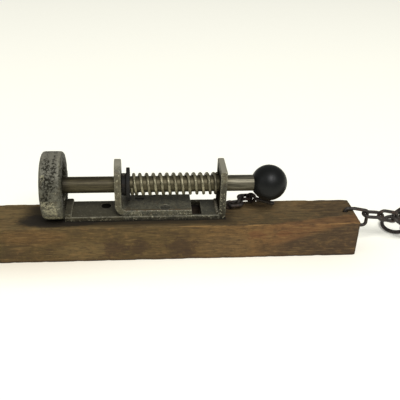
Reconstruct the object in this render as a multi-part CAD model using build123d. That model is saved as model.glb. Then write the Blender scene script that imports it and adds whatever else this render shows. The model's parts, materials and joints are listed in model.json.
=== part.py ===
from build123d import *
import os
from math import atan2, cos, radians, sin

# Spring plunger trap on a timber beam, in millimetres.
# X runs along the beam towards the ball knob, Y to the back, Z up.
# The origin is the centre of the beam's underside.

os.makedirs("parts", exist_ok=True)

# ---- beam ----
beam_length = 450.0
beam_depth = 46.5
beam_height = 39.0
beam_edge_wear = 1.2
beam_end_wear = 1.0
cut_spare = 1.0

# ---- plunger axis and base plate ----
axis_y = 4.5
axis_z = 71.0
bar_width = 31.5
bar_thickness = 6.35
plate_left = -66.0
plate_thickness = 4.8
plate_top = beam_height + plate_thickness
plate_edge_round = 0.6

# ---- anvil disc, standing on the beam against the plate's end ----
anvil_radius = 32.5
anvil_thickness = 19.5
anvil_edge_round = 2.5
anvil_dish_radius = 14.7
anvil_dish_depth = 2.5
anvil_socket_depth = 14.0
anvil_stop_length = 6.5
anvil_stop_height = 3.2
anvil_stop_round = 1.5

# ---- brackets ----
front_bracket_left = -17.6
front_bracket_top = 96.9
front_bend_inside = 5.0
foot_right = 56.8
rear_bracket_left = 83.9
rear_bracket_right = rear_bracket_left + bar_thickness
rear_bracket_top = 91.0
rear_heel_round = 4.0
rear_top_round = 0.8
weld_leg = 3.6
weld_end_gap = 1.0

# ---- trigger slot through the plate, with a pocket in the beam below it ----
slot_left = 57.6
slot_right = 67.0
slot_front = -8.3
slot_back = 17.0
pocket_depth = 22.0

# ---- plunger ----
rod_diameter = 16.0
rod_left = -76.0
rod_shoulder = 118.2
rod_end_chamfer = 1.0
stud_diameter = 10.0
stud_length = 16.0
ball_radius = 18.0
running_clearance = 0.05
stroke = 40.0
keeper_hole_diameter = 5.0
keeper_hole_margin = 0.25

# ---- collar, washer and spring on the rod ----
side_gap = 0.1
collar_length = 4.6
collar_radius = 11.0
collar_chamfer = 0.5
collar_pin_diameter = 3.0
collar_pin_sink = 0.4
washer_thickness = 3.5
washer_radius = 16.5
washer_edge_round = 0.6
spring_wire = 3.1
spring_outside = 22.4
spring_turns = 12.8

# ---- wood screws ----
screw_head_diameter = 10.0
screw_head_height = 2.6
screw_shank_diameter = 5.0
screw_length = 32.0
screw_tip_length = 8.0
screw_tip_radius = 0.4
screw_slot = 1.2
plate_screw_at = (-27.3, 10.3)
foot_screws_at = [(6.0, 13.0), (31.0, -5.0)]
screw_sink = 0.4

# ---- keeper chain with its pin, lying on the beam behind the rod ----
eye_wire = 2.4
eye_ring_radius = 3.8
eye_at = (96.5, 7.6)
eye_shank_length = 15.0
eye_hole_spare = 0.5
eye_lift = 0.3
keeper_wire = 3.4
keeper_link_length = 17.0
keeper_link_width = 11.2
keeper_gap = 4.0
keeper_lift = 0.3
keeper_height = beam_height + keeper_link_width / 2 + keeper_lift
keeper_yaws = [12.0, 64.0, 4.0]
keeper_pin_yaw = -24.0
keeper_pin_pitch = -4.0
keeper_pin_diameter = 4.2
keeper_pin_shank = 21.0
keeper_pin_overlap = 0.6
keeper_pin_chamfer = 0.8

# with the plunger drawn back, the keeper hole stands just clear of the rear bracket
keeper_hole_x = rear_bracket_right + keeper_hole_diameter / 2 + keeper_hole_margin - stroke

# ---- anchor loop through the beam's right end, and its chain ----
anchor_wire = 3.5
anchor_hole_diameter = 6.0
anchor_y = 0.0
anchor_hole_top = (215.1, 39.0)
anchor_hole_side = (225.0, 22.6)
anchor_loop_points = [(213.2, 42.2), (226.0, 41.6), (240.0, 38.6), (240.0, 22.0), (226.4, 20.3)]
anchor_loop_bend = 3.2
chain_link_length = 24.0
chain_link_width = 14.0
chain_gap = 3.9
chain_start_height = 34.7
# heading of each link: yaw from +X towards +Y, then pitch above the horizontal
chain_headings = [
    (1.0, -5.0),
    (2.0, -12.0),
    (2.0, -37.0),
    (2.0, -49.5),
    (6.0, -4.0),
    (44.0, 0.0),
    (84.0, 0.0),
    (127.0, 0.0),
    (173.0, 0.0),
    (220.0, 0.0),
]
end_ring_radius = 13.0
end_ring_wire = 4.0
end_ring_yaw = 263.0
end_ring_pitch = -8.5


def save(name, shape):
    """Writes one sub-part and prints its volume."""
    shape.label = name
    export_step(shape, f"parts/{name}.step")
    print(name, len(shape.solids()), round(shape.volume, 1))


def rod_along_x(radius, x_from, x_to, y=axis_y, z=axis_z):
    """A round bar along X."""
    length = x_to - x_from
    return Pos(x_from + length / 2, y, z) * Rot(0, 90, 0) * Cylinder(radius, length)


def upright_post(radius, x, y, z_from, z_to):
    """A round bar along Z."""
    return Pos(x, y, (z_from + z_to) / 2) * Cylinder(radius, z_to - z_from)


def block(x_from, x_to, y_from, y_to, z_from, z_to):
    """A box given by its limits."""
    centre = Pos((x_from + x_to) / 2, (y_from + y_to) / 2, (z_from + z_to) / 2)
    return centre * Box(x_to - x_from, y_to - y_from, z_to - z_from)


def plate_box(x_from, x_to, z_from, z_to):
    """A length of the flat bar that the plate and brackets are cut from."""
    half = bar_width / 2
    return block(x_from, x_to, axis_y - half, axis_y + half, z_from, z_to)


def heading(yaw, pitch):
    """Unit vector of a heading, in degrees."""
    flat = cos(radians(pitch))
    return Vector(flat * cos(radians(yaw)), flat * sin(radians(yaw)), sin(radians(pitch)))


def upright_wire(point):
    """The plane of an upright wire that a chain starts from. A wire lies along its plane's Y."""
    return Plane(origin=point, x_dir=(1, 0, 0), z_dir=(0, -1, 0))


def far_end(place, reach):
    """The plane of a link's far end wire, from the plane of its near one."""
    return Plane(origin=place.origin + place.x_dir * reach, x_dir=place.x_dir, z_dir=place.z_dir)


def hook_on(name, last, yaw, pitch, gap):
    """The plane of a link hooked on the last one, gap between their wires' centres.

    The link swings about the last wire and then about its own, so the two wires
    keep their distance whatever the turn. Prints the more upright wire, as a hinge.
    """
    along = heading(yaw, pitch)
    swing = atan2(-along.dot(last.z_dir), along.dot(last.x_dir))
    away = last.x_dir * cos(swing) - last.z_dir * sin(swing)
    own_wire = last.z_dir * cos(swing) + last.x_dir * sin(swing)
    place = Plane(origin=last.origin - away * gap, x_dir=along, z_dir=along.cross(own_wire))
    hinge = last if abs(last.y_dir.Z) > abs(place.y_dir.Z) else place
    print("hinge", name, [round(v, 4) for v in (*hinge.origin, *hinge.y_dir)])
    return place


def link(wire, length, width):
    """A closed oblong chain link. Its left end's wire crosses the origin."""
    bend = (width - wire) / 2
    straight = length - wire - 2 * bend
    near = (bend, bend)
    far = (bend + straight, bend)
    path = Wire(
        [
            ThreePointArc(near, (0, 0), (bend, -bend)),
            Line((bend, -bend), (far[0], -bend)),
            ThreePointArc((far[0], -bend), (far[0] + bend, 0), far),
            Line(far, near),
        ]
    )
    section = Plane(origin=(far[0], bend, 0), z_dir=(-1, 0, 0)) * Circle(wire / 2)
    return sweep(section, path=Wire([Line(far, near), *path.edges()[:3]]))


# ---- wood screws, cut into what they pass through ----


def wood_screw(x, y, head_top, growth=0.0):
    """A slotted countersunk wood screw, point down. Growth is added all round for its hole."""
    head = screw_head_diameter / 2 + growth
    shank = screw_shank_diameter / 2 + growth
    head_base = head_top - screw_head_height
    tip_start = head_top - screw_length + screw_tip_length
    cone = Pos(x, y, head_top - screw_head_height / 2) * Cone(shank, head, screw_head_height)
    body = upright_post(shank, x, y, tip_start, head_base)
    tip_cone = Cone(screw_tip_radius + growth, shank, screw_tip_length)
    tip = Pos(x, y, tip_start - screw_tip_length / 2) * tip_cone
    screw = cone + body + tip
    if growth:
        return screw + upright_post(head, x, y, head_top, head_top + 2 * screw_sink)
    half_slot = screw_slot / 2
    return screw - block(
        x - head, x + head, y - half_slot, y + half_slot, head_top - screw_slot, head_top
    )


foot_top = plate_top + bar_thickness
screw_places = [(*plate_screw_at, plate_top - screw_sink)]
screw_places += [(x, y, foot_top - screw_sink) for x, y in foot_screws_at]
screw_holes = [wood_screw(x, y, top, growth=running_clearance) for x, y, top in screw_places]
save("wood_screws", Compound([wood_screw(x, y, top) for x, y, top in screw_places]))

# ---- beam ----

beam = Pos(0, 0, beam_height / 2) * Box(beam_length, beam_depth, beam_height)
beam = fillet(beam.edges().filter_by(Axis.X), beam_edge_wear)
beam = chamfer(beam.faces().sort_by(Axis.X)[-1].edges(), beam_end_wear)
pocket_floor = beam_height - pocket_depth
pocket = block(slot_left, slot_right, slot_front, slot_back, pocket_floor, beam_height + cut_spare)
anchor_hole_run = Vector(
    anchor_hole_side[0] - anchor_hole_top[0], 0, anchor_hole_side[1] - anchor_hole_top[1]
)
anchor_hole_middle = (
    (anchor_hole_top[0] + anchor_hole_side[0]) / 2,
    anchor_y,
    (anchor_hole_top[1] + anchor_hole_side[1]) / 2,
)
anchor_hole = Plane(origin=anchor_hole_middle, z_dir=anchor_hole_run) * Cylinder(
    anchor_hole_diameter / 2, anchor_hole_run.length + 4 * anchor_hole_diameter
)
beam -= pocket
beam -= anchor_hole
eye_hole_floor = beam_height - eye_shank_length - eye_hole_spare
beam -= upright_post(eye_wire / 2 + running_clearance, *eye_at, eye_hole_floor, beam_height + cut_spare)
for hole in screw_holes:
    beam -= hole
save("timber_beam", beam)

# ---- base plate with its trigger slot ----

plate = plate_box(plate_left, rear_bracket_left, beam_height, plate_top)
plate = fillet(plate.edges().filter_by(Axis.X).group_by(Axis.Z)[-1], plate_edge_round)
plate -= block(
    slot_left, slot_right, slot_front, slot_back, beam_height - cut_spare, plate_top + cut_spare
)
for hole in screw_holes:
    plate -= hole
save("base_plate", plate)

# ---- anvil disc and the stop bar that locks it to the plate ----

anvil = rod_along_x(anvil_radius, plate_left - anvil_thickness, plate_left)
anvil = fillet(anvil.edges().filter_by(GeomType.CIRCLE), anvil_edge_round)
anvil_cut_right = plate_left + cut_spare
anvil -= block(
    plate_left - 2 * anvil_thickness, anvil_cut_right, -2 * anvil_radius, 2 * anvil_radius, 0, beam_height
)
anvil -= rod_along_x(anvil_dish_radius, plate_left - anvil_dish_depth, anvil_cut_right)
anvil -= rod_along_x(
    rod_diameter / 2 + running_clearance, plate_left - anvil_socket_depth, anvil_cut_right
)
save("anvil_disc", anvil)

stop_bar = plate_box(plate_left, plate_left + anvil_stop_length, plate_top, plate_top + anvil_stop_height)
stop_bar = fillet(stop_bar.edges().filter_by(Axis.Y).sort_by(Axis.Z)[-1], anvil_stop_round)
save("anvil_stop_bar", stop_bar)

# ---- front bracket: a bar bent up from a long foot, with a round top ----

guide_bore = rod_along_x(
    rod_diameter / 2 + running_clearance, front_bracket_left - cut_spare, rear_bracket_right + cut_spare
)
bend_outside = front_bend_inside + bar_thickness
shoulder = front_bracket_top - bar_width / 2
upright = plate_box(front_bracket_left, front_bracket_left + bar_thickness, plate_top, shoulder)
upright += rod_along_x(
    bar_width / 2, front_bracket_left, front_bracket_left + bar_thickness, axis_y, shoulder
)
foot = plate_box(front_bracket_left, foot_right, plate_top, foot_top)
gusset = plate_box(
    front_bracket_left, front_bracket_left + bend_outside, plate_top, plate_top + bend_outside
)
front_bracket = upright + foot + gusset
outer_corner = front_bracket.edges().filter_by(Axis.Y).sort_by_distance(
    (front_bracket_left, axis_y, plate_top)
)[0]
front_bracket = fillet(outer_corner, bend_outside)
inside_of_bend = Pos(
    front_bracket_left + bend_outside, axis_y, plate_top + bend_outside
) * Rot(90, 0, 0) * Cylinder(front_bend_inside, bar_width + 2 * cut_spare)
front_bracket -= inside_of_bend
front_bracket -= guide_bore
for hole in screw_holes:
    front_bracket -= hole
save("front_bracket", front_bracket)

# ---- rear bracket, welded to the plate's end ----

rear_bracket = plate_box(rear_bracket_left, rear_bracket_right, beam_height, rear_bracket_top)
low_right_edge = rear_bracket.edges().filter_by(Axis.Y).sort_by_distance(
    (rear_bracket_right, axis_y, beam_height)
)[0]
rear_bracket = fillet(low_right_edge, rear_heel_round)
rear_bracket = fillet(rear_bracket.edges().filter_by(Axis.Y).group_by(Axis.Z)[-1], rear_top_round)
rear_bracket -= guide_bore
save("rear_bracket", rear_bracket)

weld_profile = Plane.XZ * make_face(
    Polyline(
        (rear_bracket_left, plate_top),
        (rear_bracket_left, plate_top + weld_leg),
        (rear_bracket_left - weld_leg, plate_top),
        close=True,
    )
)
weld_front = axis_y - bar_width / 2 + weld_end_gap
weld = Pos(0, weld_front, 0) * extrude(weld_profile, -(bar_width - 2 * weld_end_gap))
save("rear_bracket_weld", weld)

# ---- plunger rod with its ball knob ----

rod = rod_along_x(rod_diameter / 2, rod_left, rod_shoulder)
rod = chamfer(rod.edges().filter_by(GeomType.CIRCLE).sort_by(Axis.X)[0], rod_end_chamfer)
rod += rod_along_x(stud_diameter / 2, rod_shoulder, rod_shoulder + stud_length)
cross_low = axis_z - rod_diameter
cross_high = axis_z + rod_diameter
rod -= upright_post(keeper_hole_diameter / 2, keeper_hole_x, axis_y, cross_low, cross_high)

collar_left = front_bracket_left + bar_thickness + side_gap
collar_right = collar_left + collar_length
collar_pin_x = (collar_left + collar_right) / 2
pin_hole = upright_post(
    collar_pin_diameter / 2 + running_clearance, collar_pin_x, axis_y, cross_low, cross_high
)
rod -= pin_hole
save("plunger_rod", rod)

ball_x = rod_shoulder + (ball_radius**2 - (rod_diameter / 2) ** 2) ** 0.5
ball = Pos(ball_x, axis_y, axis_z) * Sphere(ball_radius)
ball -= rod_along_x(ball_radius, ball_x - 2 * ball_radius, rod_shoulder)
ball -= rod_along_x(
    stud_diameter / 2 + running_clearance, rod_shoulder - cut_spare, rod_shoulder + stud_length + cut_spare
)
save("ball_knob", ball)

collar = rod_along_x(collar_radius, collar_left, collar_right)
collar = chamfer(collar.edges().filter_by(GeomType.CIRCLE), collar_chamfer)
collar -= rod_along_x(
    rod_diameter / 2 + running_clearance, collar_left - cut_spare, collar_right + cut_spare
)
collar -= pin_hole
save("stop_collar", collar)

collar_pin_reach = collar_radius - collar_pin_sink
collar_pin = upright_post(
    collar_pin_diameter / 2, collar_pin_x, axis_y, axis_z - collar_pin_reach, axis_z + collar_pin_reach
)
save("collar_pin", collar_pin)

# ---- washer and compression spring ----

washer_left = collar_right + running_clearance
washer_right = washer_left + washer_thickness
washer = rod_along_x(washer_radius, washer_left, washer_right)
washer = fillet(washer.edges().filter_by(GeomType.CIRCLE), washer_edge_round)
washer -= rod_along_x(
    rod_diameter / 2 + running_clearance, washer_left - cut_spare, washer_right + cut_spare
)
save("spring_washer", washer)

spring_left = washer_right + running_clearance
spring_right = rear_bracket_left - running_clearance
spring_length = spring_right - spring_left
coil_radius = (spring_outside - spring_wire) / 2
coil_length = spring_length - spring_wire
coil = Helix(
    pitch=coil_length / spring_turns,
    height=coil_length,
    radius=coil_radius,
    center=(spring_left + spring_wire / 2, axis_y, axis_z),
    direction=(1, 0, 0),
)
spring = sweep(Plane(origin=coil @ 0, z_dir=coil % 0) * Circle(spring_wire / 2), path=coil, is_frenet=True)
spring = spring & rod_along_x(spring_outside, spring_left, spring_right)
save("compression_spring", spring)

# ---- screw eye and keeper chain ----

eye_height = beam_height + eye_ring_radius + eye_wire / 2 + eye_lift
eye = Plane(origin=(*eye_at, eye_height), z_dir=(0, 1, 0)) * Torus(eye_ring_radius, eye_wire / 2)
eye += upright_post(eye_wire / 2, *eye_at, beam_height - eye_shank_length, eye_height - eye_ring_radius)
save("screw_eye", eye)

eye_right = (eye_at[0] + eye_ring_radius, eye_at[1], keeper_height)
last = upright_wire(eye_right)
for number, yaw in enumerate(keeper_yaws, start=1):
    name = f"keeper_link_{number}"
    place = hook_on(name, last, yaw, 0.0, keeper_gap)
    save(name, place * link(keeper_wire, keeper_link_length, keeper_link_width))
    last = far_end(place, keeper_link_length - keeper_wire)

pin_place = hook_on("keeper_pin", last, keeper_pin_yaw, keeper_pin_pitch, keeper_gap)
pin_ring = (keeper_link_width - keeper_wire) / 2
shank_start = 2 * pin_ring - keeper_pin_overlap
keeper_pin = Pos(pin_ring, 0, 0) * Torus(pin_ring, keeper_wire / 2)
shank = Pos(shank_start + keeper_pin_shank / 2, 0, 0) * Rot(0, 90, 0) * Cylinder(
    keeper_pin_diameter / 2, keeper_pin_shank
)
keeper_pin += chamfer(shank.edges().filter_by(GeomType.CIRCLE).sort_by(Axis.X)[-1], keeper_pin_chamfer)
save("keeper_pin", pin_place * keeper_pin)

# ---- anchor loop ----

loop_points = [(x, anchor_y, z) for x, z in anchor_loop_points]
loop_path = FilletPolyline(*loop_points, radius=anchor_loop_bend, close=True)
loop_section = Plane(origin=loop_path @ 0, z_dir=loop_path % 0) * Circle(anchor_wire / 2)
save("anchor_loop", sweep(loop_section, path=loop_path))

# ---- anchor chain and end ring ----

last = upright_wire((anchor_loop_points[2][0], anchor_y, chain_start_height))
for number, (yaw, pitch) in enumerate(chain_headings, start=1):
    name = f"chain_link_{number}"
    place = hook_on(name, last, yaw, pitch, chain_gap)
    save(name, place * link(anchor_wire, chain_link_length, chain_link_width))
    last = far_end(place, chain_link_length - anchor_wire)

ring_place = hook_on("end_ring", last, end_ring_yaw, end_ring_pitch, chain_gap)
save("end_ring", ring_place * (Pos(end_ring_radius, 0, 0) * Torus(end_ring_radius, end_ring_wire / 2)))
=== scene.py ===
import json
from math import asin, ceil, cos, exp, pi, radians, sin, tau

import bmesh
import bpy
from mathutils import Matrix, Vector, noise


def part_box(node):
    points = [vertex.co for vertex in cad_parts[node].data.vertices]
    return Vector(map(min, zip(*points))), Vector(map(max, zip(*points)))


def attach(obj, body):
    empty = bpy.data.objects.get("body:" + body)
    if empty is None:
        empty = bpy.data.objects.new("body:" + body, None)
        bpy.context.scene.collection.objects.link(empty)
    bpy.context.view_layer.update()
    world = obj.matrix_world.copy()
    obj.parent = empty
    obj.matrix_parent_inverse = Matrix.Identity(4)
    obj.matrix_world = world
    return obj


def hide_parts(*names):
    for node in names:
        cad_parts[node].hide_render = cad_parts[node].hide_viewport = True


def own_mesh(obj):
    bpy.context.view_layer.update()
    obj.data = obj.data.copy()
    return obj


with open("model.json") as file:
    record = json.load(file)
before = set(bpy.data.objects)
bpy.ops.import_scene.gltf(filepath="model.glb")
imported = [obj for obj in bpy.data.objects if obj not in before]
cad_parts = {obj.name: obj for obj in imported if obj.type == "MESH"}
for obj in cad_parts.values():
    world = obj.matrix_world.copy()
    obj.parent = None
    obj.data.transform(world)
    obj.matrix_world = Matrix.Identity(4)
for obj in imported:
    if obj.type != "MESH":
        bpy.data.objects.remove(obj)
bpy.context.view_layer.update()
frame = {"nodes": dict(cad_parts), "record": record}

# Everything is in metres unless it says mm, in the CAD frame: +X towards the ball knob, +Y to the
# back, +Z up.
MM = 0.001

beam_low, beam_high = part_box("timber_beam")
ball_low, ball_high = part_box("ball_knob")
spring_low, spring_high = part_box("compression_spring")
collar_low, collar_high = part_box("stop_collar")
# the plunger's axis, along X
axis_y = (collar_low.y + collar_high.y) / 2
axis_z = (collar_low.z + collar_high.z) / 2


def placed(name, data):
    """A new object in the scene."""
    thing = bpy.data.objects.new(name, data)
    bpy.context.scene.collection.objects.link(thing)
    return thing


# ---- camera ----

camera_at = Vector((9.35, -520.3, 359.85)) * MM
camera_aim = Vector((65.08, -5.0, 57.58)) * MM
camera_roll = radians(2.23)
camera_lens = 55.0
camera_clip_start = 0.01


def add_camera():
    """The camera in front and above, turned a little about its own axis."""
    camera = placed("camera", bpy.data.cameras.new("camera"))
    camera.location = camera_at
    camera.rotation_euler = (camera_aim - camera_at).to_track_quat("-Z", "Y").to_euler()
    camera.rotation_euler.rotate_axis("Z", camera_roll)
    camera.data.lens = camera_lens
    camera.data.clip_start = camera_clip_start
    bpy.context.scene.camera = camera


# ---- material nodes ----


def tone(red, green, blue):
    """A colour from 8-bit screen values, as the linear values that nodes use."""
    linear = []
    for value in (red / 255, green / 255, blue / 255):
        linear.append(value / 12.92 if value <= 0.04045 else ((value + 0.055) / 1.055) ** 2.4)
    return (*linear, 1.0)


class Surface:
    """A material's node tree, built a node at a time. Its coordinates are in millimetres."""

    def __init__(self, name):
        self.material = bpy.data.materials.new(name)
        self.material.use_nodes = True
        self.tree = self.material.node_tree
        self.shader = self.tree.nodes["Principled BSDF"]
        place = self.put("TexCoord").outputs["Object"]
        inputs = {0: place, 1: (1 / MM, 1 / MM, 1 / MM)}
        self.place = self.put("VectorMath", inputs, operation="MULTIPLY").outputs[0]
        axes = self.put("SeparateXYZ", {0: self.place})
        self.x, self.y, self.z = axes.outputs

    def put(self, kind, inputs=None, **settings):
        """Adds a node, with its settings, and its inputs as values or as other nodes' outputs."""
        node = self.tree.nodes.new("ShaderNode" + kind)
        for key, value in settings.items():
            setattr(node, key, value)
        for key, value in (inputs or {}).items():
            self.feed(node.inputs[key], value)
        return node

    def feed(self, socket, value):
        """Sets a socket to a value or links it to another node's output."""
        if isinstance(value, bpy.types.NodeSocket):
            self.tree.links.new(value, socket)
        else:
            socket.default_value = value

    def math(self, operation, a, b=0.0, clamp=False):
        """One step of arithmetic."""
        return self.put("Math", {0: a, 1: b}, operation=operation, use_clamp=clamp).outputs[0]

    def times(self, first, *others):
        """The product of values."""
        for other in others:
            first = self.math("MULTIPLY", first, other)
        return first

    def mix(self, factor, a, b):
        """A colour between a and b, which a Mix node takes as its inputs 6 and 7."""
        return self.put("Mix", {0: factor, 6: a, 7: b}, data_type="RGBA").outputs[2]

    def laid(self, under, where, strength, over):
        """A colour with another laid over it, at a strength, where a mask is 1."""
        return self.mix(self.times(where, strength), under, over)

    def span(self, value, low, high, smooth=True):
        """0 where value is at low, 1 where it is at high, and between them in between."""
        inputs = {"Value": value, "From Min": low, "From Max": high}
        kind = "SMOOTHSTEP" if smooth else "LINEAR"
        return self.put("MapRange", inputs, interpolation_type=kind).outputs[0]

    def between(self, value, low, high, fade):
        """1 where value is between low and high, fading to 0 over a distance inside each of them."""
        return self.times(self.span(value, low, low + fade), self.span(value, high, high - fade))

    def noise(self, size, detail=4.0, roughness=0.6, stretch=(1, 1, 1), shift=(0, 0, 0), distortion=0.0):
        """Noise whose blotches are about size mm across, stretched by a factor along each axis."""
        scale = [1 / (size * s) for s in stretch]
        place = self.put("Mapping", {"Vector": self.place, "Location": shift, "Scale": scale}).outputs[0]
        inputs = {"Vector": place, "Scale": 1.0, "Detail": detail}
        inputs.update({"Roughness": roughness, "Distortion": distortion})
        return self.put("TexNoise", inputs).outputs[0]

    def facing(self):
        """The surface's outward direction, as three values."""
        return self.put("SeparateXYZ", {0: self.put("NewGeometry").outputs["Normal"]}).outputs

    def oval(self, a, middle_a, half_a, b, middle_b, half_b):
        """Squared distance from an oval's middle, 1 on its outline."""
        across = self.math("DIVIDE", self.math("SUBTRACT", a, middle_a), half_a)
        along = self.math("DIVIDE", self.math("SUBTRACT", b, middle_b), half_b)
        return self.math("ADD", self.math("MULTIPLY", across, across), self.math("MULTIPLY", along, along))

    def gathered(self, spots):
        """1 in the middle of each (x, half size, z, half size) spot, in mm, and 0 well outside all."""
        total = 0.0
        for middle_x, half_x, middle_z, half_z in spots:
            reach = self.oval(self.x, middle_x, half_x, self.z, middle_z, half_z)
            total = self.math("MAXIMUM", total, self.span(reach, 2.0, 0.2))
        return total

    def edges(self, low=0.5, high=0.56):
        """1 on outer edges and 0 elsewhere."""
        return self.span(self.put("NewGeometry").outputs["Pointiness"], low, high)

    def bump(self, height, depth, strength=1.0, below=None):
        """A bump of the given depth in millimetres."""
        inputs = {"Height": height, "Distance": depth * MM, "Strength": strength}
        if below is not None:
            inputs["Normal"] = below
        return self.put("Bump", inputs).outputs[0]

    def finish(self, colour, roughness, metallic=0.0, normal=None, specular=0.5):
        """Feeds the shader and gives the material."""
        self.feed(self.shader.inputs["Base Color"], colour)
        self.feed(self.shader.inputs["Roughness"], roughness)
        self.feed(self.shader.inputs["Metallic"], metallic)
        if normal is not None:
            self.feed(self.shader.inputs["Normal"], normal)
        self.feed(self.shader.inputs["Specular IOR Level"], specular)
        return self.material


# ---- materials ----

# In this section, places along s.x, s.y and s.z and the sizes of noise are in mm in the CAD frame.

# purple-brown stains on the timber's front: middle and half size along X, then up Z, in mm
stains = [(-19.0, 11.0, 15.0, 10.0), (4.0, 10.0, 15.0, 10.0), (48.0, 14.0, 14.0, 12.0)]
# reddish blotches on the front's right half, likewise
blotches = [(121.0, 9.0, 26.0, 5.0), (149.0, 7.0, 27.5, 3.0)]
# the grime and painted shade round the disc's foot: middle and half size along X, then Y, in mm
disc_grime_and_shade = (-72.0, 43.0, -9.0, 13.0)
# the painted shade inside the trigger pocket's mouth: from and to along X, then along Y, and its fading, in
# mm
pocket_painted_shade = (56.4, 68.2, -9.6, 18.2, 0.6)
# broad tints of the front: middle and half size along X, then up Z, in mm, and the colour
front_tints = [
    (-155.0, 34.0, 16.0, 24.0, tone(70, 61, 38)),
    (-98.0, 34.0, 29.0, 9.0, tone(104, 76, 42)),
    (-48.0, 26.0, 12.0, 11.0, tone(112, 93, 58)),
    (92.0, 26.0, 14.0, 14.0, tone(106, 86, 56)),
]


def timber_material():
    """Weathered wood: fine grain, olive to tan in front, greyer on top, with grime and painted shade round
    the plate.
    """
    s = Surface("weathered_timber")
    fibres = s.noise(0.8, detail=5, stretch=(16, 1, 1), distortion=0.3)
    streaks = s.noise(2.6, detail=5, stretch=(8, 1, 1), shift=(40, 0, 0), distortion=0.8)
    mottle = s.noise(6.0, detail=6, roughness=0.72, stretch=(1.6, 1, 1), shift=(5, 0, 2))
    broad = s.noise(34.0, detail=4, stretch=(1.6, 1, 1), distortion=0.6)
    wander = s.times(s.math("SUBTRACT", mottle, 0.5), 1.6)
    facing = s.facing()
    on_top = s.span(facing[2], 0.3, 0.9)

    # broad colours: front olive on the left, tan and orange further right, grey at the lower right
    front = s.mix(s.span(s.x, -150, -90), tone(72, 59, 33), tone(82, 66, 37))
    front = s.mix(s.span(s.x, 20, 120), front, tone(113, 85, 49))
    border = s.math("ADD", 21.4, s.times(s.math("SUBTRACT", s.x, 157.0), 0.33))
    below = s.math("ADD", s.math("SUBTRACT", border, s.z), s.times(wander, 5.0))
    greying = s.times(s.span(below, -3.0, 5.0), s.span(s.x, 105, 165))
    front = s.laid(front, s.span(s.x, 105, 165), 0.75, tone(106, 72, 44))
    front = s.laid(front, greying, 0.9, tone(64, 51, 36))
    for middle_x, half_x, middle_z, half_z, tint in front_tints:
        reach = s.math("ADD", s.oval(s.x, middle_x, half_x, s.z, middle_z, half_z), wander)
        front = s.laid(front, s.span(reach, 1.6, 0.2), 0.5, tint)

    # the top: tan, duller to the right in front and darkest at the right end, with an orange wedge
    top = s.mix(s.span(s.x, -100, 60), tone(106, 89, 56), tone(86, 72, 47))
    top = s.mix(s.times(s.span(s.y, -12, 10), s.span(s.x, 60, 120)), top, tone(104, 86, 56))
    top = s.laid(top, s.span(s.x, 165, 215), 0.7, tone(70, 58, 43))
    rise = s.times(s.math("SUBTRACT", s.x, 130.0), 0.17)
    wedge = s.math("SUBTRACT", rise, s.math("ADD", s.y, 23.0))
    wedge = s.span(s.math("ADD", wedge, s.times(wander, 3.0)), -2.5, 2.5)
    top = s.mix(s.times(wedge, s.span(s.x, 120, 150)), top, tone(108, 78, 49))
    colour = s.mix(on_top, front, top)

    # mottling, streaks and fine grain
    colour = s.laid(colour, s.span(broad, 0.48, 0.64), 0.45, tone(70, 55, 34))
    colour = s.laid(colour, s.span(mottle, 0.49, 0.67), 0.42, tone(124, 94, 56))
    colour = s.laid(colour, s.span(mottle, 0.49, 0.36), 0.5, tone(62, 47, 31))
    colour = s.laid(colour, s.span(streaks, 0.54, 0.68), 0.35, tone(132, 106, 66))
    colour = s.laid(colour, s.span(streaks, 0.48, 0.34), 0.4, tone(58, 43, 28))
    colour = s.laid(colour, s.span(fibres, 0.52, 0.38), 0.4, tone(52, 40, 26))
    colour = s.laid(colour, s.span(fibres, 0.56, 0.7), 0.3, tone(140, 116, 74))

    # stains and blotches, only on the front
    in_front = s.span(s.y, -19.0, -21.0)
    patchy = s.noise(5.0, detail=6, roughness=0.7, stretch=(1.5, 1, 1), shift=(9, 9, 30), distortion=0.5)
    ragged = s.times(s.math("SUBTRACT", patchy, 0.5), 6.0)
    for spots, tint, strength in ((stains, tone(56, 40, 28), 0.58), (blotches, tone(96, 60, 36), 0.5)):
        for middle_x, half_x, middle_z, half_z in spots:
            reach = s.oval(s.x, middle_x, half_x, s.z, middle_z, half_z)
            spot = s.span(s.math("ADD", reach, ragged), 1.35, 0.35)
            colour = s.laid(colour, s.times(spot, in_front), strength, tint)

    # grime and painted shade along the plate's front edge and round the disc's foot
    upper = s.span(s.z, 33.5, 38.0)
    beside = s.span(s.math("ADD", s.y, s.times(wander, 3.0)), -22.5, -15.0)
    fading = s.math("ADD", 0.68, s.times(s.span(s.x, 70, -20), 0.12))
    strip = s.times(beside, s.span(s.x, -118, -95), s.span(s.y, 24.0, 16.0), fading)
    strip = s.times(strip, s.span(s.x, 104, 90))
    colour = s.mix(s.times(strip, upper), colour, tone(26, 22, 15))
    middle_x, half_x, middle_y, half_y = disc_grime_and_shade
    foot = s.oval(s.x, middle_x, half_x, s.y, middle_y, half_y)
    foot = s.span(s.math("ADD", foot, wander), 1.2, 0.5)
    colour = s.laid(colour, s.times(foot, upper), 0.85, tone(32, 27, 20))
    # a painted shadow line on the wood along the plate's front edge
    painted_shadow_line = s.times(s.span(s.y, -13.4, -11.4), s.span(s.x, 92, 90), s.span(s.x, -70, -66), upper)
    colour = s.laid(colour, painted_shadow_line, 0.9, tone(18, 15, 11))
    # painted shade along the bottom of the beam
    colour = s.laid(colour, s.span(s.z, 4.0, 0.3), 0.6, tone(44, 32, 21))

    # a paler line along the front's top edge, on the right: worn wood and a painted highlight
    pale_marks = s.times(s.span(s.z, 37.0, 38.4), s.span(s.y, -21.6, -22.9), s.span(s.x, 20, 80))
    pale_marks = s.times(pale_marks, s.span(streaks, 0.42, 0.56))
    colour = s.laid(colour, pale_marks, 0.55, tone(146, 112, 66))
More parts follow.
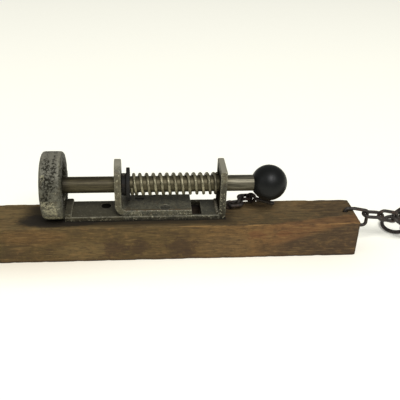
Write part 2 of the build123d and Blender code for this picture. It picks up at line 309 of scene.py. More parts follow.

    # the trigger pocket's inside is painted dark, painted shade in the recess, and the sawn ends are dark
    # end grain
    from_x, to_x, from_y, to_y, fade = pocket_painted_shade
    mouth = s.times(s.between(s.x, from_x, to_x, fade), s.between(s.y, from_y, to_y, fade))
    pocket = s.times(mouth, s.span(s.z, 38.8, 38.2))
    colour = s.laid(colour, pocket, 0.85, tone(24, 17, 11))
    rings = s.noise(3.0, detail=4, stretch=(40, 1, 4), distortion=1.0)
    end = s.mix(s.span(rings, 0.4, 0.6), tone(52, 39, 27), tone(84, 65, 42))
    colour = s.mix(s.span(s.math("ABSOLUTE", facing[0]), 0.7, 0.95), colour, end)

    lines = s.bump(fibres, 0.25, 0.8)
    normal = s.bump(streaks, 0.4, 0.5, below=lines)
    roughness = s.math("ADD", 0.7, s.times(fibres, 0.2))
    return s.finish(colour, roughness, normal=normal, specular=0.25)


# the middle of the plate's screw along X and Y, and the oily ring's radius round it, in mm
plate_screw_x = -27.3
plate_screw_y = 10.3
oily_ring = 6.5


def old_steel(name, dark, middle, light, blotch=5.0):
    """Bare steel gone dull: mottled, dented dark, with rusty blooms, pale flecks and scuffed edges."""
    s = Surface(name)
    mottle = s.noise(blotch, detail=7, roughness=0.7, distortion=0.4)
    fine = s.noise(1.2, detail=5, roughness=0.7, shift=(9, 4, 2))
    facing = s.facing()
    frontward = s.span(facing[1], -0.5, -0.85)
    upward = s.span(facing[2], 0.75, 0.98)
    colour = s.mix(s.span(mottle, 0.38, 0.62), dark, middle)
    colour = s.laid(colour, s.span(fine, 0.5, 0.72), 0.5, light)
    dents = s.noise(3.2, detail=6, roughness=0.7, shift=(2, 60, 7), distortion=0.6)
    colour = s.laid(colour, s.span(dents, 0.54, 0.64), 0.5, tone(42, 40, 32))
    rust = s.noise(6.5, detail=6, roughness=0.7, shift=(31, 7, 5))
    colour = s.laid(colour, s.span(rust, 0.54, 0.68), 0.55, tone(84, 64, 36))

    # flat tops below the crowns are painted dark, painted shade, the plate's more so than the foot's, the
    # plate's front edge has painted shade low down, and the brackets' crowns are painted pale, a painted
    # highlight
    flat = s.times(upward, s.span(s.z, 62, 58))
    depth = s.math("ADD", 0.25, s.times(s.span(s.z, 49.8, 49.0), 0.45))
    colour = s.mix(s.times(flat, depth), colour, dark)
    under = s.times(frontward, s.span(s.z, 43.2, 41.0))
    colour = s.laid(colour, under, 0.6, tone(40, 36, 28))
    crown_highlight = s.times(s.math("MAXIMUM", upward, s.span(facing[0], 0.7, 0.95)), s.span(s.z, 84, 90))
    colour = s.laid(colour, crown_highlight, 0.85, light)

    # a black oily ring round the plate's screw
    ring = s.oval(s.x, plate_screw_x, oily_ring, s.y, plate_screw_y, oily_ring)
    ring = s.math("ADD", ring, s.times(s.math("SUBTRACT", dents, 0.5), 5.0))
    ring = s.times(s.span(ring, 1.3, 0.7), flat)
    colour = s.laid(colour, ring, 0.75, tone(20, 19, 15))

    # the stop bar's side towards the rod is rubbed pale in patches
    pale_marks = s.times(s.span(facing[0], 0.5, 0.9), s.span(s.x, -58.0, -60.0))
    pale_marks = s.times(pale_marks, s.span(dents, 0.42, 0.52))
    colour = s.laid(colour, pale_marks, 0.8, tone(176, 171, 150))

    # rust creeps in along the foot's front, the rear bracket's inner face has painted shade below its top,
    # and its front is darker low down
    creep = s.times(s.span(s.y, -7.5, -10.5), flat, s.span(s.z, 49.0, 49.8))
    colour = s.mix(s.times(creep, s.span(mottle, 0.4, 0.55)), colour, tone(84, 64, 38))
    rear = s.span(s.x, 81, 83)
    painted_shade_inside = s.times(s.span(facing[0], -0.4, -0.9), rear, s.span(s.z, 90, 82))
    colour = s.laid(colour, painted_shade_inside, 0.9, tone(20, 18, 13))
    lower = s.times(frontward, rear, s.span(s.z, 84, 70))
    colour = s.laid(colour, lower, 0.75, tone(38, 35, 24))

    # the front bracket's upright is browner
    upright = s.times(s.span(s.x, -9, -11), s.span(s.z, 93, 84))
    colour = s.laid(colour, upright, 0.4, tone(74, 67, 45))

    # scuffed edges, and dark patches and pale flecks on upright fronts
    scuffed = s.times(s.edges(), s.span(fine, 0.35, 0.6))
    colour = s.laid(colour, scuffed, 0.6, light)
    patches = s.times(s.span(dents, 0.5, 0.42), frontward, s.span(s.z, 52, 50))
    colour = s.laid(colour, patches, 0.6, tone(42, 38, 28))
    flecks = s.span(s.noise(1.7, detail=4, shift=(5, 50, 1)), 0.6, 0.66)
    flecks = s.times(flecks, s.math("ADD", 0.2, s.times(frontward, 0.6)))
    colour = s.mix(flecks, colour, tone(176, 170, 144))
    gloss = s.math("ADD", 0.45, s.times(mottle, 0.2))
    gloss = s.math("ADD", gloss, s.times(painted_shade_inside, 0.4), clamp=True)
    shiny = s.times(s.math("SUBTRACT", 1.0, painted_shade_inside), 0.4)
    normal = s.bump(fine, 0.10, 0.8, below=s.bump(dents, -0.35, 0.7))
    return s.finish(colour, gloss, shiny, normal, specular=shiny)


# where the disc's rim is pitted black and where pale scale clings: middle and half size along X,
# then up Z, in mm
pit_clusters = [
    (-78.5, 4.5, 100.0, 3.5),
    (-77.5, 6.5, 88.0, 8.0),
    (-80.0, 4.5, 74.0, 6.0),
    (-72.0, 2.5, 98.5, 5.0),
]
scale_patches = [
    (-76.0, 6.5, 62.0, 8.5),
    (-81.0, 3.5, 69.0, 3.0),
    (-82.0, 2.5, 92.0, 2.5),
    (-75.0, 8.0, 47.0, 5.0),
]
# how far the oil and painted shade reach round the rod on the disc's struck face, along Y and up Z, in mm
oil_and_shade_half_y = 21.0
oil_and_shade_half_z = 25.0


def pitted_iron():
    """Cast iron with clusters of dark pits, a worn grey skin and pale scale low down."""
    s = Surface("pitted_iron")
    mottle = s.noise(6.0, detail=7, roughness=0.72)
    fine = s.noise(1.1, detail=5, roughness=0.7, shift=(3, 8, 1))
    facing = s.facing()
    colour = s.mix(s.span(mottle, 0.36, 0.64), tone(56, 55, 45), tone(90, 88, 74))
    colour = s.laid(colour, s.span(fine, 0.48, 0.68), 0.45, tone(128, 126, 110))
    brown = s.noise(8.0, detail=4, shift=(12, 12, 60))
    colour = s.laid(colour, s.span(brown, 0.52, 0.68), 0.45, tone(78, 66, 42))
    # faces that look up are painted paler: a painted highlight
    upward = s.span(facing[2], 0.5, 0.95)
    colour = s.laid(colour, upward, 0.65, tone(144, 141, 126))

    patchy = s.noise(2.0, detail=6, roughness=0.72, shift=(1, 30, 4))
    scale_here = s.gathered(scale_patches)
    scale_seen = s.span(s.math("ADD", patchy, s.times(scale_here, 0.15)), 0.59, 0.66)
    colour = s.laid(colour, scale_seen, 0.7, tone(160, 154, 126))
    pits = s.noise(2.0, detail=6, roughness=0.72, shift=(17, 2, 9), distortion=0.4)
    pits_here = s.gathered(pit_clusters)
    colour = s.laid(colour, pits_here, 0.3, tone(44, 43, 35))
    pits_seen = s.span(s.math("ADD", pits, s.times(pits_here, 0.13)), 0.6, 0.66)
    colour = s.laid(colour, pits_seen, 0.85, tone(27, 26, 21))
    wander = s.times(s.math("SUBTRACT", patchy, 0.5), 4.0)

    # the struck face is dark round the rod: oil and painted shade
    struck = s.span(facing[0], 0.6, 0.95)
    from_rod = s.oval(s.y, axis_y / MM, oil_and_shade_half_y, s.z, axis_z / MM, oil_and_shade_half_z)
    blackened = s.times(struck, s.span(s.math("ADD", from_rod, wander), 2.0, 0.6))
    colour = s.laid(colour, blackened, 0.8, tone(24, 21, 16))
    colour = s.laid(colour, s.edges(0.51, 0.58), 0.3, tone(150, 148, 132))
    normal = s.bump(fine, 0.12, 0.8, below=s.bump(pits_seen, -0.4, 0.8))
    clear = s.math("SUBTRACT", 1.0, s.math("MAXIMUM", pits_seen, blackened))
    metallic = s.times(clear, 0.35)
    return s.finish(colour, 0.62, metallic, normal, s.times(clear, 0.45))


def rod_steel():
    """Turned bar: brown and dull on the left, polished by handling beside the ball."""
    s = Surface("rod_steel")
    lines = s.noise(0.9, detail=5, stretch=(25, 1, 1))
    mottle = s.noise(8.0, detail=5, roughness=0.65, stretch=(2, 1, 1))
    bright = s.span(s.x, 84, 100)
    dull = s.mix(s.span(lines, 0.38, 0.62), tone(54, 48, 33), tone(80, 73, 52))
    clean = s.mix(s.span(lines, 0.35, 0.6), tone(62, 59, 47), tone(104, 99, 83))
    colour = s.mix(bright, dull, clean)
    colour = s.laid(colour, s.span(mottle, 0.52, 0.7), 0.6, tone(52, 46, 31))
    colour = s.laid(colour, s.span(s.x, -58, -66), 0.6, tone(30, 27, 21))
    # the rod inside the spring is painted lighter: painted light against the spring's shadow
    in_spring = s.between(s.x, -14, 92, 6)
    colour = s.laid(colour, in_spring, 0.4, tone(84, 78, 56))
    roughness = s.math("SUBTRACT", 0.5, s.times(bright, 0.08))
    normal = s.bump(lines, 0.05, 0.7, below=s.bump(mottle, 0.12, 0.5))
    return s.finish(colour, roughness, 0.7, normal)


def spring_steel():
    """Tempered wire, olive-grey, polished where it rubs."""
    s = Surface("spring_steel")
    mottle = s.noise(6.0, detail=5, roughness=0.65)
    fine = s.noise(0.8, detail=3, shift=(4, 4, 4))
    colour = s.mix(s.span(mottle, 0.38, 0.62), tone(94, 89, 67), tone(142, 135, 109))
    colour = s.laid(colour, s.span(fine, 0.5, 0.7), 0.4, tone(168, 162, 138))
    rust = s.noise(9.0, detail=4, shift=(60, 2, 2))
    colour = s.laid(colour, s.span(rust, 0.52, 0.68), 0.6, tone(60, 48, 30))
    # the coils next to the rear bracket are painted dark: painted shade
    colour = s.laid(colour, s.span(s.x, 70, 82), 0.6, tone(36, 32, 23))
    normal = s.bump(fine, 0.05, 0.6)
    return s.finish(colour, 0.42, 0.6, normal)


def black_knob():
    """Moulded black phenolic, satin with fine scratches."""
    s = Surface("black_knob")
    cloud = s.noise(12.0, detail=4)
    scratch = s.noise(0.7, detail=4, stretch=(1, 9, 4), shift=(8, 1, 1))
    colour = s.mix(s.span(cloud, 0.35, 0.7), tone(12, 13, 12), tone(18, 19, 18))
    roughness = s.math("ADD", 0.3, s.times(scratch, 0.22))
    return s.finish(colour, roughness, 0.0, s.bump(scratch, 0.02, 0.5), specular=0.2)


def rusty_iron(name, dark, middle, rust, metallic=0.35, roughness=0.6, size=3.5, specular=0.5):
    """Dark iron with a thin, uneven skin of rust."""
    s = Surface(name)
    mottle = s.noise(size, detail=6, roughness=0.7)
    fine = s.noise(0.7, detail=4, roughness=0.7, shift=(7, 7, 2))
    skin = s.noise(size * 1.6, detail=5, roughness=0.7, shift=(21, 3, 8))
    colour = s.mix(s.span(mottle, 0.38, 0.62), dark, middle)
    colour = s.laid(colour, s.span(skin, 0.5, 0.66), 0.7, rust)
    colour = s.laid(colour, s.edges(0.52, 0.6), 0.35, tone(130, 122, 108))
    normal = s.bump(fine, 0.12, 0.8, below=s.bump(mottle, 0.25, 0.6))
    return s.finish(colour, roughness, metallic, normal, specular)


def screw_steel():
    """Old wood screws: slate like the bracket's foot they hold, and the plate's own black with oil."""
    s = Surface("screw_steel")
    mottle = s.noise(2.0, detail=6, roughness=0.7)
    blackened = s.span(s.x, -10, -20)
    clear = s.math("SUBTRACT", 1.0, blackened)
    colour = s.mix(s.span(mottle, 0.38, 0.62), tone(50, 49, 42), tone(82, 79, 67))
    colour = s.laid(colour, blackened, 0.9, tone(12, 11, 9))
    roughness = s.math("ADD", 0.6, s.times(blackened, 0.3))
    normal = s.bump(mottle, 0.1, 0.7)
    metallic = s.times(clear, 0.35)
    return s.finish(colour, roughness, metallic, normal, s.times(clear, 0.4))


materials = {
    "weathered_timber": timber_material(),
    "worn_bar_steel": old_steel(
        "worn_bar_steel", tone(68, 67, 57), tone(102, 98, 79), tone(158, 154, 136)
    ),
    "weld_bead": old_steel(
        "weld_bead", tone(66, 62, 48), tone(112, 106, 88), tone(170, 165, 148), blotch=2.5
    ),
    "pitted_iron": pitted_iron(),
    "rod_steel": rod_steel(),
    "black_knob": black_knob(),
    "dark_iron": rusty_iron(
        "dark_iron",
        tone(14, 13, 11),
        tone(26, 23, 18),
        tone(36, 28, 19),
        metallic=0.1,
        roughness=0.7,
        size=5.0,
        specular=0.3,
    ),
    "spring_steel": spring_steel(),
    "screw_steel": screw_steel(),
    "chain_iron": rusty_iron("chain_iron", tone(34, 30, 27), tone(60, 54, 49), tone(72, 52, 40)),
}
slot_of = {entry["node"]: entry["material_slot"] for entry in frame["record"]["subparts"]}
body_of = {node: body for body, nodes in frame["record"]["behaviour"]["bodies"].items() for node in nodes}


# ---- making pieces ----

# lengths shorter than this count as none
tiny = 1e-6
# each finer octave of fractal noise is this many times finer, and weaker by a power of that
fractal_step = 2.1
fractal_falloff = 0.8


def show(name, mesh, node):
    """Adds a mesh as a piece that has a CAD node's body and finish, shown in its place."""
    for polygon in mesh.polygons:
        polygon.use_smooth = True
    piece = placed(name, mesh)
    mesh.materials.clear()
    mesh.materials.append(materials[slot_of[node]])
    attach(piece, body_of[node])
    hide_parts(node)
    return piece


def mesh_from(name, points, faces):
    """A mesh with its faces turned outwards."""
    mesh = bpy.data.meshes.new(name)
    mesh.from_pydata(points, [], faces)
    shape = bmesh.new()
    shape.from_mesh(mesh)
    bmesh.ops.recalc_face_normals(shape, faces=shape.faces)
    shape.to_mesh(mesh)
    shape.free()
    return mesh


def band(near, far):
    """Faces between two rings of point numbers. A ring may also be one point's number repeated."""
    faces = []
    for here in range(len(near)):
        after = (here + 1) % len(near)
        corners = (near[here], near[after], far[after], far[here])
        faces.append(tuple(dict.fromkeys(corners)))
    return faces


def bands(rings):
    """Faces between each two rings that follow each other."""
    faces = []
    for near, far in zip(rings, rings[1:]):
        faces += band(near, far)
    return faces


def settled(piece):
    """A piece's mesh with its modifiers applied. The piece itself is removed."""
    depsgraph = bpy.context.evaluated_depsgraph_get()
    mesh = bpy.data.meshes.new_from_object(piece.evaluated_get(depsgraph), depsgraph=depsgraph)
    bpy.data.objects.remove(piece)
    return mesh


def fractal(place, size, octaves=3, seed=0.0):
    """Noise about 0 whose broadest blotches are about size across."""
    start = place / size + Vector((seed, seed, seed))
    return noise.fractal(start, fractal_falloff, fractal_step, octaves)


def grainwise(place, stretch, size, seed=0.0):
    """Noise about 0 whose blotches are about size across, and stretched along the grain."""
    long = Vector((place.x / stretch, place.y, place.z))
    return noise.noise(long / size + Vector((seed, seed, seed)))


def worn(node, spacing, softenings, wear):
    """A copy of a CAD node remeshed at a spacing, its edges softened, dented by wear(place)."""
    source = frame["nodes"][node].data.copy()
    shape = bmesh.new()
    shape.from_mesh(source)
    bmesh.ops.remove_doubles(shape, verts=shape.verts, dist=tiny)
    shape.to_mesh(source)
    shape.free()
    rough = placed(node + "_rough", source)
    remesh = rough.modifiers.new("remesh", "REMESH")
    remesh.mode = "VOXEL"
    remesh.voxel_size = spacing
    soften = rough.modifiers.new("soften", "SMOOTH")
    soften.factor = 0.5
    soften.iterations = softenings
    mesh = settled(rough)
    normals = [vertex.normal.copy() for vertex in mesh.vertices]
    for vertex, normal in zip(mesh.vertices, normals):
        vertex.co -= normal * wear(vertex.co)
    show(node + "_worn", mesh, node)


# ---- timber ----

beam_spacing = 1.5 * MM
beam_ring_spacing = 0.75 * MM
beam_rounding = 0.7 * MM
corner_steps = 4
pocket_low = Vector((57.6, -8.3, 17.0)) * MM
pocket_high = Vector((67.0, 17.0, 60.0)) * MM
anchor_hole_top = Vector((215.1, 0.0, 39.0)) * MM
anchor_hole_side = Vector((225.0, 0.0, 22.6)) * MM
anchor_hole_radius = 3.0 * MM
anchor_hole_sides = 48


def beam_section():
    """Points round the beam's section with their outward directions, starting at the bottom front."""
    half_depth = (beam_high.y - beam_low.y) / 2
    half_height = (beam_high.z - beam_low.z) / 2
    middle = Vector((0, (beam_high.y + beam_low.y) / 2, (beam_high.z + beam_low.z) / 2))
    # the middles of the rounded corners, from the section's middle
    inners = []
    for side_y, side_z in ((-1, -1), (1, -1), (1, 1), (-1, 1)):
        inner_y = side_y * (half_depth - beam_rounding)
        inners.append(Vector((0, inner_y, side_z * (half_height - beam_rounding))))
    points = []
    for number, inner in enumerate(inners):
        start_angle = pi + number * pi / 2
        for step in range(corner_steps + 1):
            angle = start_angle + step / corner_steps * pi / 2
            outward = Vector((0, cos(angle), sin(angle)))
            points.append((middle + inner + outward * beam_rounding, outward))
        next_inner = inners[(number + 1) % len(inners)]
        count = int((next_inner - inner).length / beam_ring_spacing)
        for step in range(1, count):
            along = inner.lerp(next_inner, step / count)
            points.append((middle + along + outward * beam_rounding, outward))
    return points


# long cracks, in mm: where they start and end along X, on which face, how far up or back they start,
# how much they rise or go back for each mm along X, and how deep they get
cracks = [
    (120.0, 224.0, "front", 27.0, 0.02, 0.9),
    (150.0, 224.5, "front", 11.0, -0.03, 1.1),
    (-225.0, -60.0, "front", 22.0, 0.01, 0.8),
    (-40.0, 70.0, "front", 30.5, 0.0, 0.6),
    (100.0, 222.0, "top", -13.0, 0.01, 0.9),
    (130.0, 224.0, "top", 12.0, -0.02, 1.0),
    (-225.0, -90.0, "top", -9.0, 0.0, 0.8),
    (-225.0, 40.0, "back", 19.0, 0.01, 1.0),
    (20.0, 224.0, "back", 28.0, -0.01, 0.9),
]
crack_width = 0.55
# how far cracks wander, over what length, and over what length they come and go, in mm
crack_wander = 1.6
crack_wander_length = 28
crack_patch_length = 9
# over what lengths cracks begin and end, in mm; those that reach this far right run out of the end
crack_start_fade = 25
crack_end_fade = 4
crack_runs_out = 220
# a surface faces one way squarely when its outward direction's share of that way is over this
squarely = 0.7


def crack_depth(place, outward):
    """How deep the cracks are at a place on the beam's surface."""
    x, y, z = place / MM
    if outward.z > squarely:
        face, across = "top", y
    elif abs(outward.y) > squarely:
        face, across = ("front" if outward.y < 0 else "back"), z
    else:
        return 0.0
    depth = 0.0
    for start, end, crack_face, middle, slope, deepest in cracks:
        if crack_face != face or not start < x < end:
            continue
        wander = crack_wander * noise.noise(Vector((x / crack_wander_length, middle, 0)))
        line = middle + slope * (x - start) + wander
        fade = min(1.0, (x - start) / crack_start_fade)
        if end < crack_runs_out:
            fade = min(fade, (end - x) / crack_end_fade)
        patchy = max(0.0, 0.65 + noise.noise(Vector((x / crack_patch_length, middle, 5))))
        depth += deepest * fade * patchy * exp(-(((across - line) / crack_width) ** 2))
    return depth * MM


# how deep the weathering goes, in mm: everywhere, in fine grain, in ridges and in broad waves, in
# knocks along the long edges, and round the ends' edges
skin_depth = 0.05
grain_depth = 0.09
ridge_depth = 0.12
wave_depth = 0.2
knock_depth = 0.9
end_edge_depth = 0.35
end_edge_unevenness = 0.5
# how far from the long edges and from the ends' edges that wear reaches, in mm
knock_reach = 1.6
end_edge_reach = 2.0
# how far apart the long edges' knocks are in the noise that places them
knock_spread = 2 * MM
# an outward direction whose Z is below this faces the floor
downward = -0.3


def beam_wear(place, outward):
    """How far the weathered surface lies below the sawn one."""
    grain = grain_depth * grainwise(place, 20, 1.5 * MM)
    ridges = ridge_depth * grainwise(place, 9, 5 * MM)
    waves = wave_depth * grainwise(place, 2.5, 16 * MM, seed=3)
    to_edge_y = min(place.y - beam_low.y, beam_high.y - place.y) / MM
    to_edge_z = min(place.z - beam_low.z, beam_high.z - place.z) / MM
    corner = exp(-(max(to_edge_y, 0) + max(to_edge_z, 0)) / knock_reach)
    edge_place = Vector((place.x, 0, 0)) + outward * knock_spread
    knock = max(0.0, 0.15 + fractal(edge_place, 16 * MM))
    to_end = (beam_high.x - abs(place.x)) / MM
    uneven = end_edge_depth + end_edge_unevenness * fractal(place, 9 * MM)
    end_edge = max(0.0, exp(-max(to_end, 0) / end_edge_reach) * uneven)
    surface = skin_depth + grain + ridges + waves
    # the underside never swells through the floor
    if outward.z < downward:
        surface = max(0.0, surface)
    return (surface + knock_depth * corner * knock + end_edge) * MM + crack_depth(place, outward)


# each end of the beam closes in this many rings, and the saw and the weather hollow it this deep, in mm
end_rings = 16
saw_depth = 0.45
hollow_depth = 0.7
# how far in, as a share of the way to the middle, an end has its whole depth
end_slope_share = 0.25


def beam_end(points, rim, inward):
    """Faces that close one end of the beam, in rings towards its middle. It adds to the points."""
    centre = sum((points[i] for i in rim), Vector()) / len(rim)
    rings = [rim]
    for ring in range(1, end_rings):
        share = 1 - ring / end_rings
        start = len(points)
        for index in rim:
            place = centre.lerp(points[index], share)
            saw = 0.5 + 0.5 * noise.noise(Vector((0, place.y * 0.4, place.z)) / (2.5 * MM))
            hollow = 0.5 + 0.5 * noise.noise(place / (12 * MM))
            reached = min(1.0, (1 - share) / end_slope_share)
            depth = reached * (saw_depth * saw + hollow_depth * hollow) * MM
            points.append(place + Vector((inward * depth, 0, 0)))
        rings.append(list(range(start, len(points))))
    points.append(centre + Vector((inward * MM, 0, 0)))
    rings.append([len(points) - 1] * len(rim))
    return bands(rings)


def timber():
    """The beam as one closed skin, with the trigger pocket and the anchor hole cut out."""
    section = beam_section()
    around = len(section)
    columns = ceil((beam_high.x - beam_low.x) / beam_spacing)
    points, rings = [], []
    for column in range(columns + 1):
        x = beam_low.x + (beam_high.x - beam_low.x) * column / columns
        rings.append(list(range(column * around, (column + 1) * around)))
        for point, outward in section:
            place = Vector((x, point.y, point.z))
            points.append(place - outward * beam_wear(place, outward))
    faces = bands(rings)
    faces += beam_end(points, rings[0], 1)
    faces += beam_end(points, rings[-1], -1)
    blank = placed("timber_blank", mesh_from("timber", points, faces))
    cutters = [box_cutter(pocket_low, pocket_high), bar_cutter(anchor_hole_top, anchor_hole_side)]
    for cutter in cutters:
        cut = blank.modifiers.new("cut", "BOOLEAN")
        cut.operation = "DIFFERENCE"
        cut.solver = "MANIFOLD"
        cut.object = cutter
    mesh = settled(blank)
    for cutter in cutters:
        bpy.data.objects.remove(cutter)
    show("timber", mesh, "timber_beam")


def cutter_from(shape):
    """A piece to cut with."""
    mesh = bpy.data.meshes.new("cutter")
    shape.to_mesh(mesh)
    shape.free()
    return placed("cutter", mesh)


def box_cutter(low, high):
    """A box to cut with."""
    shape = bmesh.new()
    bmesh.ops.create_cube(shape, size=1.0)
    for vertex in shape.verts:
        vertex.co = Vector(((low + high)[i] / 2 + vertex.co[i] * (high - low)[i] for i in range(3)))
    return cutter_from(shape)


def bar_cutter(start, end):
    """A round bar through two points, long enough to cut right out of the beam."""
    run = end - start
    shape = bmesh.new()
    bmesh.ops.create_cone(
        shape,
        cap_ends=True,
        segments=anchor_hole_sides,
        radius1=anchor_hole_radius,
        radius2=anchor_hole_radius,
        depth=3 * run.length,
    )
    turn = run.to_track_quat("Z", "Y").to_matrix()
    for vertex in shape.verts:
        vertex.co = (start + end) / 2 + turn @ vertex.co
    return cutter_from(shape)


# ---- worn steel and iron ----


def light_wear(place):
    """The slightly uneven face of old bar."""
    waves = 0.06 * MM * fractal(place, 7 * MM)
    specks = 0.02 * MM * fractal(place, 1.6 * MM, seed=4)
    return waves + specks


disc_growth = 0.2 * MM
disc_swelling = 0.14 * MM
disc_pit_slope = 1.5 * MM
disc_pit_floor = 0.9 * MM
disc_chip_slope = 1.2 * MM


def disc_wear(place):
    """A rough casting with shallow pits and chips, a little thicker than the CAD's disc."""
    swell = disc_swelling * fractal(place, 11 * MM) - disc_growth
    pit = max(0.0, fractal(place, 4.5 * MM, octaves=4, seed=7) - 0.28)
    chip = max(0.0, fractal(place, 7 * MM, seed=12) - 0.5)
    return swell + min(disc_pit_floor, disc_pit_slope * pit) + disc_chip_slope * chip


def no_wear(place):
    """Only softened edges."""
    return 0.0


def wear_metal():
    """The bars, plates and washers whose edges are softened and whose faces are uneven."""
    coarse, fine = 0.5 * MM, 0.35 * MM
    worn("base_plate", coarse, 3, light_wear)
    worn("anvil_stop_bar", fine, 3, light_wear)
    worn("front_bracket", coarse, 3, light_wear)
    worn("rear_bracket", coarse, 3, light_wear)
    worn("anvil_disc", coarse, 6, disc_wear)
    worn("stop_collar", fine, 2, no_wear)
    worn("spring_washer", fine, 2, light_wear)


# ---- ball knob ----

ball_parting_ridge = 0.12 * MM
ball_ridge_width = 0.35 * MM
ball_flat_inset = 0.02 * MM
ball_steps = 96
ball_sides = 160


def lathe(name, outline, sides):
    """A closed turned shape about the plunger's axis from (x, radius) points, both ends on the axis."""
    points, rings = [], []
    for x, radius in outline:
        start = len(points)
        if radius < tiny:
            points.append(Vector((x, axis_y, axis_z)))
            rings.append([start] * sides)
            continue
        for step in range(sides):
            angle = tau * step / sides
            points.append(Vector((x, axis_y + radius * cos(angle), axis_z + radius * sin(angle))))
        rings.append(list(range(start, len(points))))
    return mesh_from(name, points, bands(rings))


def ball():
    """The knob: a ball with a flat against the rod's shoulder and a fine parting ridge round its middle."""
    radius = (ball_high.z - ball_low.z) / 2
    centre_x = ball_high.x - radius
    flat_x = ball_low.x + ball_flat_inset
    first = asin(max(-1.0, (flat_x - centre_x) / radius))
    outline = [(flat_x, 0.0)]
    for step in range(ball_steps + 1):
        angle = first + (pi / 2 - first) * step / ball_steps
        offset = radius * sin(angle)
        ridge = ball_parting_ridge * exp(-((offset / ball_ridge_width) ** 2))
        outline.append((centre_x + offset, max(0.0, radius * cos(angle) + ridge - ball_parting_ridge)))
    show("knob", lathe("knob", outline, ball_sides), "ball_knob")


# ---- spring ----

spring_wire = 3.1 * MM
spring_turns = 11.9
closed_turns = 0.9
spring_start = radians(-186)
spring_steps_per_turn = 48
spring_wire_sides = 12


def spring():
    """Round wire wound in open coils, with a closed coil at each end."""
    radius = (spring_high.z - spring_low.z - spring_wire) / 2
    left = spring_low.x + spring_wire / 2
    right = spring_high.x - spring_wire / 2
    total = spring_turns + 2 * closed_turns
    dead = spring_wire * closed_turns
    steps = int(total * spring_steps_per_turn)
    path = []
    for step in range(steps + 1):
        turn = total * step / steps
        if turn < closed_turns:
            x = left + dead * turn / closed_turns
        elif turn > total - closed_turns:
            x = right - dead * (total - turn) / closed_turns
        else:
            x = left + dead + (right - left - 2 * dead) * (turn - closed_turns) / spring_turns
        angle = tau * turn + spring_start
        path.append(Vector((x, axis_y + radius * cos(angle), axis_z + radius * sin(angle))))
    points, rings = [], []
    for index, place in enumerate(path):
        ahead = path[min(index + 1, steps)] - path[max(index - 1, 0)]
        outward = Vector((0, place.y - axis_y, place.z - axis_z)).normalized()
        across = ahead.cross(outward).normalized()
        start = len(points)
        for step in range(spring_wire_sides):
            angle = tau * step / spring_wire_sides
            points.append(place + (outward * cos(angle) + across * sin(angle)) * spring_wire / 2)
        rings.append(list(range(start, len(points))))
    faces = [*bands(rings), rings[0], rings[-1]]
    piece = show("spring", mesh_from("spring", points, faces), "compression_spring")
    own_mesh(piece)


# ---- weld ----

weld_steps = 150
weld_sides = 14
# how many ripples the bead has, how often their spacing wobbles and how often it swells slowly, and
# how much each of these, a general shrinking and its roundness change its size
weld_ripples = 17
weld_wobbles = 9
weld_swells = 6
weld_ripple_share = 0.09
weld_shrink_share = 0.08
weld_swell_share = 0.10
weld_round_share = 0.18
# the bead's size at its ends, and how fast it grows from there
weld_end_share = 0.35
weld_end_growth = 6


def weld():
    """A rippled bead along the foot of the rear bracket."""
    low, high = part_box("rear_bracket_weld")
    leg = high.x - low.x
    points, rings = [], []
    for index in range(weld_steps + 1):
        share = index / weld_steps
        y = low.y + (high.y - low.y) * share
        wobble = noise.noise(Vector((share * weld_wobbles, 0, 0)))
        phase = tau * share * weld_ripples + wobble
        ripple = weld_ripple_share * sin(phase) - weld_shrink_share
        swell = weld_swell_share * noise.noise(Vector((share * weld_swells, 4, 0)))
        from_end = min(share, 1 - share)
        ends = min(1.0, weld_end_growth * from_end + weld_end_share)
        start = len(points)
        for step in range(weld_sides + 1):
            angle = pi / 2 * step / weld_sides
            roundness = 1 - weld_round_share + weld_round_share * sin(2 * angle)
            bulge = leg * (1 + ripple + swell) * ends * roundness
            points.append(Vector((high.x - bulge * cos(angle), y, low.z + bulge * sin(angle))))
        points.append(Vector((high.x, y, low.z)))
        rings.append(list(range(start, len(points))))
    faces = [*bands(rings), rings[0], rings[-1]]
    show("weld", mesh_from("weld", points, faces), "rear_bracket_weld")


# ---- the CAD nodes that keep their own shape ----


def finish_cad_nodes(nodes):
    """Gives each node its procedural material and smooth shading."""
    for node in nodes:
        piece = frame["nodes"][node]
        piece.data.materials.clear()
        piece.data.materials.append(materials[slot_of[node]])
        for polygon in piece.data.polygons:
            polygon.use_smooth = True


# ---- floor and light ----

key_direction = Vector((0.134, -0.557, 0.82))
key_distance = 4.0
key_size = 1.8
key_power = 139.0
fill_direction = Vector((-0.75, -0.35, 0.55))
fill_distance = 4.0
fill_size = 2.6
fill_power = 17.0
light_aim = Vector((0.06, 0.0, 0.05))
floor_size = 8.0
floor_glow = 0.2
sky_strength = 0.28
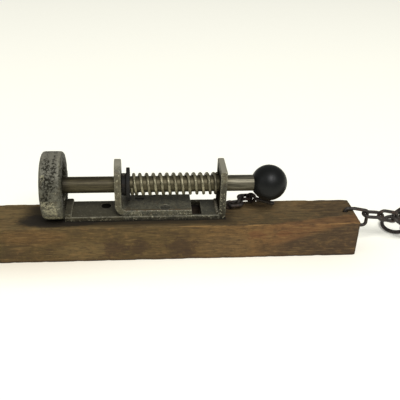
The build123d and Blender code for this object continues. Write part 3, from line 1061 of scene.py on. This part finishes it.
# the warm shade on the floor in front of the beam, in mm: where it starts and is full from the left,
# then from the right, and from the front, then from the back
shade_left = (-300, -215)
shade_right = (300, 180)
shade_front = (-68.0, -24.0)
shade_back = (15.0, -15.0)


def area_light(name, direction, distance, size, power):
    """A square soft box that faces the object's middle."""
    light = placed(name, bpy.data.lights.new(name, "AREA"))
    light.location = light_aim + direction.normalized() * distance
    light.rotation_euler = (-direction).to_track_quat("-Z", "Y").to_euler()
    light.data.size = size
    light.data.energy = power


def add_stage():
    """A pale floor with a warm painted shade in front of the beam, a pale sky and two soft boxes."""
    half = floor_size / 2
    corners = [(-half, -half, 0), (half, -half, 0), (half, half, 0), (-half, half, 0)]
    floor = placed("floor", mesh_from("floor", corners, [(0, 1, 2, 3)]))
    s = Surface("pale_floor")
    s.feed(s.shader.inputs["Emission Color"], tone(255, 254, 248))
    s.feed(s.shader.inputs["Emission Strength"], floor_glow)
    beside = s.times(s.span(s.x, *shade_left), s.span(s.x, *shade_right))
    before = s.times(s.span(s.y, *shade_front, smooth=False), s.span(s.y, *shade_back))
    warmth = s.math("ADD", 0.5, s.times(s.span(s.x, 60, -110), 0.5))
    shade = s.times(before, warmth, beside)
    floor.data.materials.append(s.finish(s.mix(shade, tone(252, 251, 237), tone(224, 214, 194)), 0.9))
    world = bpy.data.worlds.new("world")
    world.use_nodes = True
    world.node_tree.nodes["Background"].inputs["Color"].default_value = tone(255, 254, 250)
    world.node_tree.nodes["Background"].inputs["Strength"].default_value = sky_strength
    bpy.context.scene.world = world
    area_light("key", key_direction, key_distance, key_size, key_power)
    area_light("fill", fill_direction, fill_distance, fill_size, fill_power)
    bpy.context.scene.view_settings.view_transform = "Standard"


# ---- build ----

add_camera()
add_stage()
timber()
wear_metal()
ball()
spring()
weld()
chains = [node for node in frame["nodes"] if node.startswith(("chain_link", "keeper"))]
small_parts = ["collar_pin", "wood_screws", "screw_eye", "anchor_loop", "end_ring"]
finish_cad_nodes(["plunger_rod", *small_parts, *chains])
